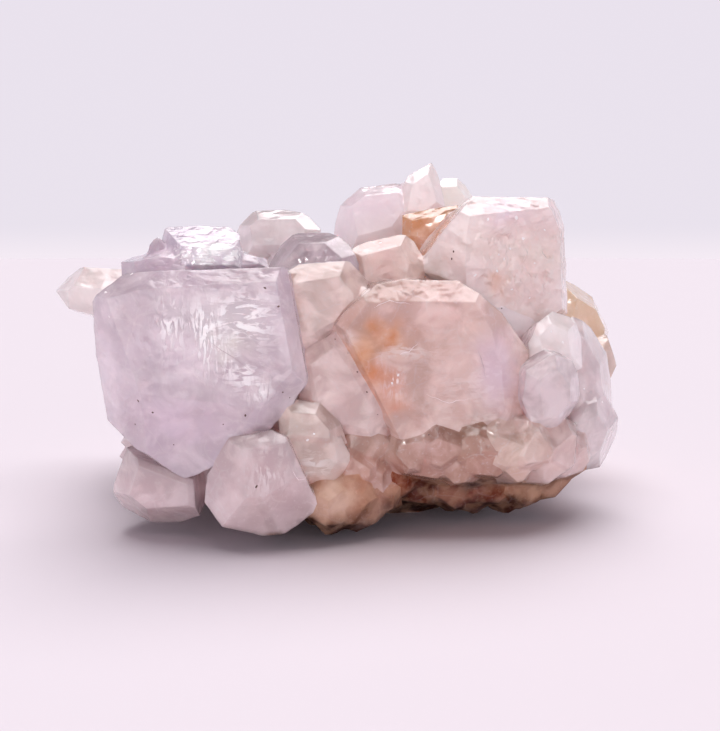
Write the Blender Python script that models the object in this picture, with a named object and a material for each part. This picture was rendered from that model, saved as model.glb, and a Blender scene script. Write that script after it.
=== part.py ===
"""Spirit quartz cluster: one grown mass of quartz points on a broken-off base, resting on that base.

+X is to the cluster's right, +Y to its back and +Z up, with the origin at the bottom centre of its box.
Lengths below are millimetres in the cluster's own frame and become metres when the solid is placed.

Each large crystal is cut from a block, as a crystal grows: one big front facet, a bevel facet along every
side of it, and the prism sides around the whole. Small ones are six-sided quartz points. A Boolean union
joins them all.
"""
import math
import random

import bmesh
import bpy
from mathutils import Vector

MM = 0.001

# Where the middle of the whole cluster's box lies, so that it can be moved to the origin.
BOX_CENTRE = (0.13, 1.23)

# The rough mass in the middle.
CORE_CENTRE = Vector((0.5, 1.5, 6.5))
CORE_RADII = Vector((16.0, 8.5, 9.5))
CORE_ROUGHNESS = 0.4

# How a quartz crystal is shaped: angles in degrees.
POINT_SIDES = 6
RHOMB_ANGLE = 51.8
POINT_TAPER = 5.0
PRISM_TAPER = 8.0
FAR_END_WIDTH = 0.35

# The small points: those scattered over the back and the ends, and the blunt ones of the druse.
DRUSE_COUNT = 100
DRUSE_RADIUS = (0.9, 1.7)
DRUSE_LENGTH = 6.0
DRUSE_REACH = (0.8, 2.2)
DRUSE_FLOOR = 1.6
DRUSE_SEED = 7
DRUSE_BLUNT = 1.0

# The block that a crystal is cut from, and how close two points of a cut count as one.
BLOCK = 120.0
SAME_POINT = 0.002
SHORTEST_EDGE_M = 0.000005

QUARTZ_COLOUR = (0.84, 0.76, 0.82, 1.0)
QUARTZ_ROUGHNESS = 0.12
QUARTZ_IOR = 1.544
QUARTZ_CLEARNESS = 0.6


def direction(azimuth, elevation):
    """Unit vector: azimuth 0 faces the front (-Y) and turns towards +X, elevation lifts it above level."""
    turn = math.radians(azimuth)
    lift = math.radians(elevation)
    return Vector((math.sin(turn) * math.cos(lift), -math.cos(turn) * math.cos(lift), math.sin(lift)))


def slice_off(body, point, normal):
    """Cut away everything on the normal's side of a plane, and close the cut with one face."""
    everything = body.verts[:] + body.edges[:] + body.faces[:]
    bmesh.ops.bisect_plane(
        body, geom=everything, dist=SAME_POINT, plane_co=point, plane_no=normal, clear_outer=True)
    rim = [edge for edge in body.edges if edge.is_boundary]
    if rim:
        bmesh.ops.holes_fill(body, edges=rim, sides=0)


def carved(centre, planes):
    """A block about centre, cut by every (point, normal) plane."""
    body = bmesh.new()
    bmesh.ops.create_cube(body, size=BLOCK)
    bmesh.ops.translate(body, vec=centre, verts=body.verts)
    for point, normal in planes:
        slice_off(body, point, normal)
    bmesh.ops.recalc_face_normals(body, faces=body.faces)
    return body


def on_plane(points, origin, normal):
    """Points given as (x, z) from the front, laid on a plane."""
    laid = []
    for x, z in points:
        rise = normal.x * (x - origin.x) + normal.z * (z - origin.z)
        laid.append(Vector((x, origin.y - rise / normal.y, z)))
    return laid


def side_planes(points, centre, normal, tilts):
    """One plane through each side of a polygon, turned away from the polygon's own plane by its tilt."""
    planes = []
    for index, start in enumerate(points):
        end = points[(index + 1) % len(points)]
        across = normal.cross(end - start).normalized()
        if across.dot(start - centre) < 0:
            across.negate()
        tilt = math.radians(tilts[index])
        planes.append((start, across * math.sin(tilt) + normal * math.cos(tilt)))
    return planes


def faced_crystal(y, facing, face, tilts, outline, depth, extra=(), step=1.5, taper=PRISM_TAPER):
    """A crystal known by its big front facet.

    face and outline are (x, z) corners; y is the front facet's place at its middle, and facing its azimuth
    and elevation. tilts turn the bevel facets beyond the face's sides. The outline, laid step behind the
    front facet, gives the prism sides. extra holds further facets as (angle about the middle, distance,
    tilt).
    """
    normal = direction(*facing)
    middle = Vector((sum(x for x, z in face) / len(face), y, sum(z for x, z in face) / len(face)))
    right = Vector((-normal.y, normal.x, 0.0)).normalized()
    above = right.cross(-normal)
    behind = middle - normal * step
    if isinstance(tilts, (int, float)):
        tilts = [tilts] * len(face)
    planes = [(middle, normal)]
    planes += side_planes(on_plane(face, middle, normal), middle, normal, tilts)
    planes += side_planes(on_plane(outline, behind, normal), behind, normal, [90 + taper] * len(outline))
    for angle, distance, tilt in extra:
        outward = right * math.cos(math.radians(angle)) + above * math.sin(math.radians(angle))
        lean = math.radians(tilt)
        planes.append((middle + outward * distance, outward * math.sin(lean) + normal * math.cos(lean)))
    far_end = middle - normal * depth
    width = sum((corner - behind).length for corner in on_plane(outline, behind, normal)) / len(outline)
    planes.append((far_end, -normal))
    for outward, end_normal in end_facets(-normal, roll=depth):
        planes.append((far_end + outward * width * FAR_END_WIDTH, end_normal))
    return carved(middle - normal, planes)


def end_facets(axis, roll):
    """The six (outward direction, facet normal) pairs about a quartz crystal's end."""
    right = axis.orthogonal().normalized()
    above = axis.cross(right)
    lean = math.radians(RHOMB_ANGLE)
    facets = []
    for side in range(POINT_SIDES):
        angle = math.radians(roll + 360 / POINT_SIDES * side)
        outward = right * math.cos(angle) + above * math.sin(angle)
        facets.append((outward, outward * math.sin(lean) + axis * math.cos(lean)))
    return facets


def quartz_point(tip, facing, radius, length, roll=0.0, uneven=(0, 0.15, 0, 0.3, 0, 0.1), blunt=None):
    """A six-sided point, a little wider towards its root, with six end facets.

    radius is the prism's at the level of the tip, and uneven moves each end facet back by that share of it.
    Where blunt is given, the tip stops short in a flat end, that share of the radius below it.
    """
    tip = Vector(tip)
    axis = direction(*facing)
    taper = math.radians(POINT_TAPER)
    planes = []
    for side, (outward, end_normal) in enumerate(end_facets(axis, roll)):
        planes.append((tip + outward * radius, outward * math.cos(taper) + axis * math.sin(taper)))
        planes.append((tip - end_normal * radius * uneven[side], end_normal))
    if blunt is not None:
        planes.append((tip - axis * radius * blunt, axis))
    planes.append((tip - axis * length, -axis))
    return carved(tip - axis * length * 0.5, planes)


def left_crystals():
    """The big lavender point at the front left, with the stepped growth on top of it."""
    return {
        "left_point": faced_crystal(
            -12.5, (-3, 4),
            face=[(-13.0, 16.0), (-10.9, 16.6), (-2.5, 17.1), (-1.5, 11.6), (-3.8, 9.4), (-11.0, 10.2)],
            tilts=[45, 38, 62, 42, 12, 37],
            outline=[(-14.3, 12.7), (-14.0, 15.7), (-12.1, 17.5), (-1.9, 17.8), (-0.7, 10.8), (-3.2, 7.6),
                     (-7.6, 5.0), (-8.5, 4.7), (-12.1, 6.7), (-14.0, 8.0)],
            depth=14, extra=[(237, 7.6, 62)]),
        "corner_step": faced_crystal(
            -10.5, (-12, 30),
            face=[(-13.4, 15.8), (-12.4, 16.5), (-10.6, 16.5), (-10.5, 15.6), (-13.0, 15.4)],
            tilts=45,
            outline=[(-14.4, 15.7), (-14.0, 16.2), (-12.9, 16.8), (-10.4, 16.9), (-10.2, 14.5),
                     (-14.1, 15.0)],
            depth=8),
        "low_step": faced_crystal(
            -8.5, (-8, 35),
            face=[(-12.2, 18.2), (-10.5, 18.6), (-8.8, 18.2), (-8.7, 17.6), (-11.7, 17.4)],
            tilts=45,
            outline=[(-13.2, 16.8), (-13.2, 17.9), (-12.9, 18.5), (-11.5, 18.9), (-8.8, 18.5), (-8.3, 16.7),
                     (-11.3, 16.2)],
            depth=8),
        "high_step": faced_crystal(
            -8.5, (2, 30),
            face=[(-9.1, 19.2), (-5.7, 19.1), (-5.5, 17.7), (-8.9, 17.7)],
            tilts=[34, 55, 60, 50],
            outline=[(-11.1, 17.8), (-10.8, 19.0), (-10.5, 19.7), (-8.5, 19.9), (-6.4, 19.8), (-5.6, 19.0),
                     (-5.3, 16.6), (-10.9, 16.6)],
            depth=10, step=3, taper=2),
        "right_step": faced_crystal(
            -7.5, (10, 40),
            face=[(-5.5, 18.8), (-4.3, 18.5), (-4.0, 18.0), (-5.5, 17.9)],
            tilts=50,
            outline=[(-6.5, 19.6), (-5.2, 19.4), (-4.0, 18.8), (-3.6, 17.3), (-6.1, 17.1)],
            depth=8),
        "top_spike": quartz_point((-10.9, -7.0, 19.9), (0, 70), 0.45, 4, roll=10),
    }


def middle_crystals():
    """The pink crystals in the middle, the large one that points left, and the block at the right."""
    return {
        "top_middle": faced_crystal(
            -6.8, (-6, 16),
            face=[(-2.5, 18.1), (-1.5, 19.4), (0.2, 19.4), (1.4, 18.4), (1.2, 16.6), (-2.0, 16.6)],
            tilts=[50, 55, 45, 50, 50, 40],
            outline=[(-3.7, 17.7), (-3.0, 19.3), (-1.7, 20.1), (0.5, 20.2), (1.9, 19.1), (2.5, 17.9),
                     (2.3, 15.5), (-3.2, 15.5)],
            depth=10),
        "pink_upper": faced_crystal(
            -10.3, (6, 8),
            face=[(-1.4, 16.9), (1.3, 17.3), (2.2, 16.2), (1.0, 14.5), (-1.0, 13.4), (-1.8, 14.4)],
            tilts=40,
            outline=[(-2.3, 17.3), (-1.4, 17.9), (1.9, 18.1), (3.0, 16.9), (2.7, 14.9), (1.3, 12.9),
                     (-1.7, 12.2),
                     (-2.5, 13.6)],
            depth=10),
        "pink_lower": faced_crystal(
            -11.0, (4, 0),
            face=[(-0.5, 11.8), (1.0, 12.9), (2.0, 11.4), (3.4, 8.9), (3.0, 7.6), (0.1, 8.5)],
            tilts=40,
            outline=[(-1.4, 12.4), (1.1, 13.7), (4.3, 9.0), (5.0, 6.8), (4.4, 6.2), (-0.2, 6.8), (-1.2, 9.0)],
            depth=11),
        "centre_point": faced_crystal(
            -10.5, (8, -4),
            face=[(1.7, 14.0), (3.0, 15.7), (5.0, 15.8), (9.9, 15.7), (11.0, 13.9), (11.7, 11.6), (12.0, 8.8),
                  (12.2, 6.9), (5.2, 6.9), (4.2, 8.9)],
            tilts=[46, 44, 44, 40, 30, 26, 30, 70, 70, 60],
            outline=[(0.9, 14.1), (1.6, 15.1), (3.6, 16.8), (5.2, 17.1), (8.8, 17.0), (11.7, 14.9),
                     (13.7, 12.4),
                     (13.7, 7.2), (12.4, 6.4), (4.9, 6.9)],
            depth=14),
        "right_block": faced_crystal(
            -4.8, (8, -2),
            face=[(10.1, 21.2), (15.6, 21.8), (16.4, 20.3), (16.8, 14.8), (14.3, 13.2), (9.9, 16.4),
                  (9.8, 19.6)],
            tilts=[50, 60, 60, 60, 70, 35, 32],
            outline=[(6.9, 18.0), (8.3, 20.2), (10.4, 22.6), (16.5, 22.4), (17.1, 21.6), (17.8, 14.3),
                     (16.2, 12.9),
                     (14.9, 12.5), (7.2, 17.0)],
            depth=12),
        "saddle": faced_crystal(
            -4.8, (0, 12),
            face=[(2.7, 18.5), (5.4, 19.2), (6.0, 18.0), (5.7, 16.8), (3.0, 16.8)],
            tilts=45,
            outline=[(1.9, 18.2), (2.3, 19.0), (3.0, 19.3), (5.5, 19.8), (6.4, 19.4), (7.1, 18.0),
                     (7.0, 16.3),
                     (2.7, 15.9)],
            depth=9),
    }


def right_crystals():
    """The small milky crystals at the right end and the tan ones behind them."""
    return {
        "right_upper": faced_crystal(
            -8.2, (12, 14),
            face=[(14.4, 13.3), (15.3, 14.1), (16.4, 13.6), (16.5, 12.2), (14.7, 11.8)],
            tilts=40,
            outline=[(13.7, 12.5), (14.3, 13.8), (15.5, 14.6), (16.7, 14.3), (17.6, 13.0), (17.5, 11.0),
                     (15.6, 10.1), (13.9, 10.9)],
            depth=9),
        "right_front": faced_crystal(
            -10.0, (14, -6),
            face=[(14.1, 10.7), (15.2, 11.5), (16.2, 10.2), (16.3, 9.2), (15.4, 8.1), (14.5, 8.2)],
            tilts=[35, 40, 45, 45, 45, 40],
            outline=[(13.1, 9.3), (13.2, 11.3), (14.8, 12.3), (16.5, 11.7), (17.3, 9.6), (16.6, 8.0),
                     (15.2, 7.3), (13.7, 8.0)],
            depth=11),
        "right_edge": faced_crystal(
            -6.0, (24, 8),
            face=[(16.6, 13.0), (18.0, 12.9), (19.2, 11.1), (19.5, 8.9), (17.6, 8.2)],
            tilts=38,
            outline=[(15.6, 13.6), (17.4, 14.2), (19.0, 13.4), (20.2, 11.8), (20.8, 9.6), (20.7, 7.6),
                     (19.2, 6.6), (16.7, 6.9)],
            depth=10),
        "right_lower": faced_crystal(
            -7.0, (25, -8),
            face=[(17.5, 7.2), (18.8, 7.8), (19.7, 6.6), (19.2, 5.2), (17.8, 5.2)],
            tilts=35,
            outline=[(16.8, 7.3), (17.8, 8.5), (19.4, 8.9), (20.4, 7.7), (21.4, 5.9), (21.4, 5.1),
                     (20.5, 3.9),
                     (19.7, 3.5), (18.5, 3.4), (17.2, 4.7)],
            depth=11),
        "tan_upper": faced_crystal(
            3.0, (28, 14),
            face=[(19.6, 15.1), (21.3, 14.1), (22.0, 12.7), (21.5, 11.0), (19.9, 10.7), (18.9, 12.7)],
            tilts=45,
            outline=[(18.2, 15.5), (19.2, 16.5), (20.4, 16.2), (22.8, 14.4), (23.9, 12.9), (23.6, 10.5),
                     (21.0, 9.1), (18.2, 9.8)],
            depth=10.5, taper=3),
        "tan_lower": faced_crystal(
            1.5, (38, 0),
            face=[(20.9, 11.1), (22.1, 11.2), (22.6, 9.9), (22.0, 8.8), (21.0, 8.6)],
            tilts=45,
            outline=[(20.6, 11.4), (21.9, 12.1), (23.6, 11.6), (24.0, 9.9), (23.5, 8.5), (22.6, 7.2),
                     (20.6, 7.3)],
            depth=10, taper=3),
    }


def top_crystals():
    """The milky and tan crystals along the top, and the iron-orange one between them."""
    return {
        "top_milky": faced_crystal(
            8.0, (-8, 20),
            face=[(1.9, 22.4), (3.0, 23.2), (5.7, 23.5), (6.1, 21.9), (5.2, 20.7), (2.4, 19.9)],
            tilts=45,
            outline=[(0.1, 19.7), (0.4, 21.1), (1.2, 22.5), (2.6, 23.9), (5.6, 24.3), (6.8, 24.1),
                     (7.0, 21.7),
                     (5.9, 14.0), (1.0, 14.0)],
            depth=8),
        "top_peak": faced_crystal(
            8.0, (4, 10),
            face=[(6.9, 24.1), (8.2, 25.0), (8.6, 24.0), (8.9, 22.7), (7.9, 21.9), (6.5, 22.0)],
            tilts=45,
            outline=[(6.3, 23.9), (6.6, 24.7), (8.5, 25.7), (9.0, 24.9), (9.5, 22.5), (9.3, 14.0),
                     (6.3, 14.0)],
            depth=7.5),
        "top_peach": faced_crystal(
            10.0, (15, 15),
            face=[(9.6, 24.0), (10.8, 24.1), (11.5, 23.2), (11.0, 22.3), (9.6, 22.5)],
            tilts=45,
            outline=[(9.0, 23.9), (9.7, 24.7), (10.7, 24.7), (11.7, 24.3), (12.4, 23.0), (12.1, 15.0),
                     (9.2, 15.0)],
            depth=6.5),
        "iron_orange": faced_crystal(
            3.0, (-5, 20),
            face=[(6.6, 21.1), (9.3, 21.6), (8.5, 20.4), (7.8, 19.7), (6.5, 20.0)],
            tilts=45,
            outline=[(6.1, 21.3), (8.1, 21.8), (10.2, 22.0), (10.0, 15.0), (5.9, 15.0)],
            depth=8),
        "top_back_left": faced_crystal(
            3.0, (-6, 20),
            face=[(-5.9, 20.7), (-5.3, 21.2), (-2.4, 21.2), (-1.6, 20.4), (-2.0, 19.2), (-5.7, 19.2)],
            tilts=45,
            outline=[(-7.3, 20.0), (-5.9, 21.7), (-3.4, 21.9), (-1.4, 21.2), (-0.5, 20.2), (-0.7, 17.3),
                     (-7.0, 17.3)],
            depth=8),
    }


def lower_crystals():
    """The points below the two large ones and the druse bed under them."""
    return {
        "low_left": faced_crystal(
            -11.0, (-12, -8),
            face=[(-11.6, 5.2), (-8.4, 4.1), (-8.4, 2.7), (-11.3, 2.3), (-12.4, 3.2)],
            tilts=40,
            outline=[(-12.7, 6.1), (-8.0, 4.5), (-7.9, 1.8), (-9.3, 1.0), (-10.7, 0.9), (-14.0, 1.3),
                     (-13.8, 3.5)],
            depth=11),
        "low_front": faced_crystal(
            -13.5, (2, 2),
            face=[(-4.6, 6.9), (-2.0, 7.3), (-1.3, 5.2), (-3.3, 3.9), (-4.4, 3.9)],
            tilts=[45, 40, 30, 30, 35],
            outline=[(-7.1, 4.9), (-5.4, 7.3), (-2.9, 7.8), (-2.1, 7.4), (0.0, 2.8), (-1.2, 1.7), (-2.1, 1.0),
                     (-3.6, 0.9), (-6.1, 1.7), (-7.4, 3.0)],
            depth=12),
        "low_middle": faced_crystal(
            -12.0, (8, -4),
            face=[(-1.5, 6.8), (1.0, 6.9), (1.2, 5.8), (0.6, 4.9), (-0.9, 4.9)],
            tilts=40,
            outline=[(-2.3, 7.1), (1.2, 7.2), (1.7, 6.0), (1.4, 4.3), (0.3, 3.6), (-1.4, 3.6), (-2.1, 4.9)],
            depth=12),
        "low_middle_upper": faced_crystal(
            -12.2, (6, 8),
            face=[(-1.7, 9.0), (-0.2, 8.8), (0.7, 7.8), (0.7, 7.3), (-1.9, 7.6)],
            tilts=45,
            outline=[(-2.6, 9.1), (-1.9, 9.4), (-0.1, 9.1), (1.2, 7.9), (1.7, 6.7), (-2.3, 6.6)],
            depth=12),
        "low_centre": faced_crystal(
            -10.5, (4, -6),
            face=[(2.0, 6.9), (3.2, 7.0), (3.8, 6.4), (3.2, 5.3), (2.1, 5.1)],
            tilts=40,
            outline=[(1.1, 6.8), (1.9, 7.2), (3.5, 7.2), (4.5, 6.5), (4.3, 5.1), (3.0, 3.8), (1.5, 4.0)],
            depth=12),
        "druse_bed": faced_crystal(
            -8.5, (4, -4),
            face=[(5.1, 6.5), (11.9, 6.5), (16.0, 6.0), (16.5, 4.5), (14.8, 3.7), (5.5, 4.0)],
            tilts=45,
            outline=[(4.4, 7.0), (13.5, 6.7), (17.8, 6.1), (18.4, 3.8), (17.0, 2.5), (5.3, 2.7), (4.2, 4.0)],
            depth=12),
        "base_left": faced_crystal(
            -9.6, (0, -10),
            face=[(-0.3, 3.3), (2.0, 3.8), (4.4, 3.5), (4.2, 2.4), (1.9, 1.8), (0.1, 1.6)],
            tilts=40,
            outline=[(-1.4, 3.1), (1.6, 4.1), (5.0, 3.7), (5.4, 1.9), (3.7, 1.0), (1.9, 0.5), (-0.7, 0.4),
                     (-1.5, 1.0)],
            depth=9),
        "base_middle": faced_crystal(
            -6.2, (0, -12),
            face=[(5.6, 2.8), (8.1, 3.0), (10.1, 2.8), (10.0, 1.8), (7.4, 1.8), (5.5, 1.8)],
            tilts=40,
            outline=[(4.8, 2.7), (8.2, 3.1), (11.0, 2.8), (11.4, 0.7), (9.8, 0.5), (7.6, 0.8), (5.0, 0.6)],
            depth=9),
        "base_right": faced_crystal(
            -5.4, (8, -14),
            face=[(10.9, 2.7), (14.4, 2.7), (16.8, 3.2), (16.7, 2.3), (15.2, 1.6), (11.2, 1.6)],
            tilts=40,
            outline=[(10.4, 2.5), (14.7, 2.8), (18.3, 3.5), (18.3, 2.0), (17.1, 1.0), (16.0, 0.6),
                     (13.4, 0.5),
                     (10.5, 0.5)],
            depth=9),
    }


def gap_crystals():
    """Blunt little crystals that close the gaps between the large ones."""
    return {
        "left_gap": quartz_point((-3.3, -11.8, 8.4), (0, 5), 1.8, 8, roll=10, blunt=1.0),
        "left_gap_low": quartz_point((-7.6, -11.2, 4.3), (-5, 0), 1.9, 8, roll=35, blunt=1.0),
        "right_gap_high": quartz_point((13.5, -6.6, 14.1), (10, 8), 1.7, 8, roll=20, blunt=1.0),
        "right_gap": quartz_point((17.0, -8.0, 10.7), (25, 5), 1.8, 8, roll=0, blunt=1.0),
        "right_gap_low": quartz_point((17.6, -7.8, 8.3), (25, -5), 1.9, 8, roll=40, blunt=1.0),
    }


def druse_rows():
    """The blunt little crystals under the large one.

    Each is the (x, y, z) of its flat end, the azimuth and elevation that it faces, and its radius.
    """
    bed = [
        (4.7, -9.6, 5.0, -12, -18, 1.5), (6.9, -10.2, 4.9, 2, -22, 1.5), (8.9, -10.0, 4.6, -6, -18, 1.4),
        (10.8, -10.3, 5.1, 6, -25, 1.7), (13.0, -9.8, 4.7, 12, -20, 1.6), (15.4, -9.2, 4.6, 22, -24, 1.8),
        (5.9, -10.7, 6.0, -4, 0, 1.3), (8.1, -10.8, 6.1, 6, -6, 1.4), (10.0, -10.6, 6.3, -3, 0, 1.3),
        (12.1, -10.5, 6.1, 9, -6, 1.5), (14.2, -10.2, 6.3, 18, 0, 1.5), (16.3, -9.3, 5.8, 28, -8, 1.6),
        (17.4, -7.9, 4.6, 38, -20, 1.6),
    ]
    base_left_end = [
        (3.1, -10.5, 3.8, 8, -6, 1.5), (1.3, -11.4, 3.7, -8, -4, 1.4), (-0.1, -12.0, 2.6, -14, -12, 1.5),
        (1.9, -11.3, 2.4, 2, -14, 1.6), (3.9, -10.1, 2.3, 16, -20, 1.4), (0.6, -11.1, 1.4, -5, -30, 1.3),
        (2.8, -10.3, 1.2, 8, -35, 1.3), (4.9, -9.3, 3.4, 12, -14, 1.4), (2.3, -11.1, 5.0, 0, 2, 1.2),
    ]
    base_right_end = [
        (6.5, -8.0, 2.9, -6, -18, 1.7), (9.0, -7.7, 2.7, 3, -14, 1.8), (11.5, -7.5, 2.5, 8, -20, 1.7),
        (13.9, -7.3, 2.6, 14, -16, 1.8), (16.1, -6.7, 2.8, 24, -20, 1.6), (10.2, -6.9, 1.5, 2, -34, 1.5),
        (13.0, -6.6, 1.4, 10, -34, 1.5),
    ]
    ends = [
        (0.0, 0.22, 0.1, 0.15, 0.0, 0.25), (0.25, 0.0, 0.1, 0.05, 0.3, 0.1), (0.1, 0.15, 0.0, 0.3, 0.05, 0.2),
    ]
    points = {}
    for index, (x, y, z, azimuth, elevation, radius) in enumerate(bed + base_left_end + base_right_end):
        tip = Vector((x, y, z)) + direction(azimuth, elevation) * radius * DRUSE_BLUNT
        points[f"druse_{index:02d}"] = quartz_point(
            tip, (azimuth, elevation), radius, length=5, roll=29 * index, uneven=ends[index % 3],
            blunt=DRUSE_BLUNT)
    return points


def hidden_side_crystals():
    """Points of the cluster's back, its two ends and the back of its top."""
    return {
        "back_left": quartz_point((-14.0, 13.5, 12.0), (210, 12), 3.0, 14, roll=10),
        "back_left_low": quartz_point((-10.0, 13.5, 5.0), (205, -8), 2.6, 12, roll=40),
        "back_middle": quartz_point((-4.5, 16.5, 9.0), (188, 0), 3.6, 15, roll=25),
        "back_middle_high": quartz_point((-5.0, 14.0, 16.5), (195, 35), 3.0, 14, roll=5),
        "back_large": quartz_point((5.0, 17.0, 13.0), (176, 15), 4.2, 16, roll=30),
        "back_centre_low": quartz_point((3.5, 15.5, 5.2), (178, -12), 2.8, 13, roll=15),
        "back_right": quartz_point((13.5, 15.0, 10.0), (155, 2), 3.7, 15, roll=0),
        "back_right_high": quartz_point((13.0, 14.5, 18.0), (160, 35), 3.2, 14, roll=35),
        "back_right_low": quartz_point((11.5, 14.0, 4.5), (160, -14), 2.4, 12, roll=50),
        "right_side": quartz_point((22.5, 8.0, 8.5), (115, -2), 2.8, 14, roll=20),
        "right_side_low": quartz_point((20.0, 2.5, 4.6), (90, -12), 2.2, 12, roll=5),
        "far_left": quartz_point(
            (-23.4, 9.0, 15.7), (262, 8), 1.6, 13, roll=30, uneven=(0, 0.2, 0, 0.3, 0, 0)),
        "left_side": quartz_point((-18.6, 5.0, 10.0), (262, 3), 3.2, 14, roll=15),
        "left_side_high": quartz_point((-17.5, 6.5, 14.6), (255, 30), 2.6, 13, roll=30),
        "left_side_low": quartz_point((-16.5, 3.0, 4.6), (262, -12), 2.4, 12, roll=45),
        "left_underside": quartz_point((-13.2, -4.5, 4.4), (290, -15), 2.0, 10, roll=10),
        "top_left": quartz_point((-11.8, 6.0, 17.6), (225, 58), 2.6, 13, roll=25),
        "top_left_end": quartz_point((-14.3, -0.5, 17.0), (258, 62), 2.0, 12, roll=5),
        "top_left_inner": quartz_point((-8.8, 1.5, 19.2), (210, 74), 2.3, 13, roll=40),
        "top_behind_steps": quartz_point((-5.2, 6.0, 20.3), (200, 70), 2.0, 13, roll=10),
        "top_centre": quartz_point((-1.5, 9.0, 19.3), (190, 62), 2.9, 13, roll=0),
        "top_centre_front": quartz_point((1.4, 4.0, 19.9), (170, 76), 2.0, 13, roll=20),
        "top_saddle": quartz_point((5.2, 6.2, 19.0), (175, 80), 2.6, 13, roll=50),
        "top_over_block": quartz_point((12.0, 6.2, 21.8), (150, 72), 2.6, 13, roll=35),
        "top_right": quartz_point((16.5, 6.5, 19.5), (130, 50), 2.9, 13, roll=15),
        "top_back": quartz_point((8.5, 14.0, 20.0), (175, 50), 3.4, 14, roll=20),
        "top_back_right": quartz_point((4.0, 13.0, 20.5), (185, 58), 2.6, 14, roll=45),
        "right_shoulder": quartz_point((19.5, 10.5, 14.0), (128, 24), 2.7, 14, roll=40),
        "left_back_shoulder": quartz_point((-16.5, 10.5, 12.8), (228, 22), 2.3, 14, roll=55),
    }


def scattered_druse():
    """Small points all over the core's back and ends, pointing outwards."""
    chance = random.Random(DRUSE_SEED)
    points = {}
    for index in range(DRUSE_COUNT):
        azimuth = chance.uniform(60, 300)
        elevation = chance.uniform(-35, 60)
        outward = direction(azimuth, elevation)
        surface = Vector(outward[axis] * CORE_RADII[axis] for axis in range(3))
        tip = CORE_CENTRE + surface + outward * chance.uniform(*DRUSE_REACH)
        radius = chance.uniform(*DRUSE_RADIUS)
        facing = (azimuth + chance.uniform(-18, 18), elevation + chance.uniform(-18, 18))
        roll = chance.uniform(0, 60)
        if tip.z > DRUSE_FLOOR:
            points[f"scatter_{index:02d}"] = quartz_point(tip, facing, radius, DRUSE_LENGTH, roll)
    return points


def core():
    """The rough mass that the crystals grow from, broken off flat underneath."""
    chance = random.Random(DRUSE_SEED)
    body = bmesh.new()
    bmesh.ops.create_icosphere(body, subdivisions=3, radius=1.0)
    bmesh.ops.scale(body, vec=CORE_RADII, verts=body.verts)
    for vertex in body.verts:
        vertex.co += Vector(chance.uniform(-CORE_ROUGHNESS, CORE_ROUGHNESS) for axis in range(3))
    bmesh.ops.translate(body, vec=CORE_CENTRE, verts=body.verts)
    slice_off(body, Vector((0, 0, 0)), Vector((0, 0, -1)))
    bmesh.ops.recalc_face_normals(body, faces=body.faces)
    return body


def placed(name, body, collection):
    """Turn a body in millimetres into an object in metres, moved so that the cluster's box is centred."""
    bmesh.ops.translate(body, vec=(-BOX_CENTRE[0], -BOX_CENTRE[1], 0), verts=body.verts)
    bmesh.ops.scale(body, vec=(MM, MM, MM), verts=body.verts)
    mesh = bpy.data.meshes.new(name)
    body.to_mesh(mesh)
    body.free()
    item = bpy.data.objects.new(name, mesh)
    collection.objects.link(item)
    return item


def quartz_material():
    material = bpy.data.materials.new("quartz")
    material.use_nodes = True
    shader = material.node_tree.nodes["Principled BSDF"]
    shader.inputs["Base Color"].default_value = QUARTZ_COLOUR
    shader.inputs["Roughness"].default_value = QUARTZ_ROUGHNESS
    shader.inputs["Metallic"].default_value = 0.0
    shader.inputs["IOR"].default_value = QUARTZ_IOR
    shader.inputs["Transmission Weight"].default_value = QUARTZ_CLEARNESS
    return material


def islands(body):
    """The body's separate surfaces, each as a list of its faces."""
    waiting = set(body.faces)
    found = []
    while waiting:
        island = [waiting.pop()]
        for face in island:
            for edge in face.edges:
                for neighbour in edge.link_faces:
                    if neighbour in waiting:
                        waiting.remove(neighbour)
                        island.append(neighbour)
        found.append(island)
    return found


def keep_outer_surface(mesh):
    """Fill the sealed gaps between the joined crystals by removing their walls, and drop folded slivers."""
    body = bmesh.new()
    body.from_mesh(mesh)
    walls = sorted(islands(body), key=len)[:-1]
    bmesh.ops.delete(body, geom=[face for wall in walls for face in wall], context="FACES")
    bmesh.ops.dissolve_degenerate(body, dist=SHORTEST_EDGE_M, edges=body.edges)
    bmesh.ops.triangulate(body, faces=body.faces)
    by_corners = {}
    for face in body.faces:
        by_corners.setdefault(frozenset(face.verts), []).append(face)
    folded = [face for faces in by_corners.values() if len(faces) > 1 for face in faces]
    bmesh.ops.delete(body, geom=folded, context="FACES")
    body.to_mesh(mesh)
    body.free()


def main():
    for item in list(bpy.data.objects):
        bpy.data.objects.remove(item)
    cluster_parts = bpy.data.collections.new("spirit_quartz_cluster")
    grown = bpy.data.collections.new("crystals_to_join")
    bpy.context.scene.collection.children.link(cluster_parts)
    bpy.context.scene.collection.children.link(grown)

    groups = [left_crystals(), middle_crystals(), right_crystals(), top_crystals(), lower_crystals(),
              gap_crystals(), druse_rows(), hidden_side_crystals(), scattered_druse()]
    for group in groups:
        for name, body in group.items():
            crystal = placed(name, body, grown)
            crystal.hide_render = True
            crystal.display_type = "WIRE"

    cluster = placed("quartz_cluster", core(), cluster_parts)
    cluster.data.materials.append(quartz_material())
    union = cluster.modifiers.new("grown together", "BOOLEAN")
    union.operation = "UNION"
    union.operand_type = "COLLECTION"
    union.collection = grown
    union.solver = "EXACT"
    joined = bpy.data.meshes.new_from_object(cluster.evaluated_get(bpy.context.evaluated_depsgraph_get()))
    cluster.modifiers.remove(union)
    keep_outer_surface(joined)
    cluster.data = joined


main()
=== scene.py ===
"""Looks of the spirit quartz cluster: a milky, partly clear mass of lavender, blush and iron-stained points.

Places are in millimetres in the row frame, +X to the cluster's right, +Y to its back and +Z up.
"""
import math
import random

import bmesh
import bpy
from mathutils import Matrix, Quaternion, Vector, noise
from mathutils.bvhtree import BVHTree


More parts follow.
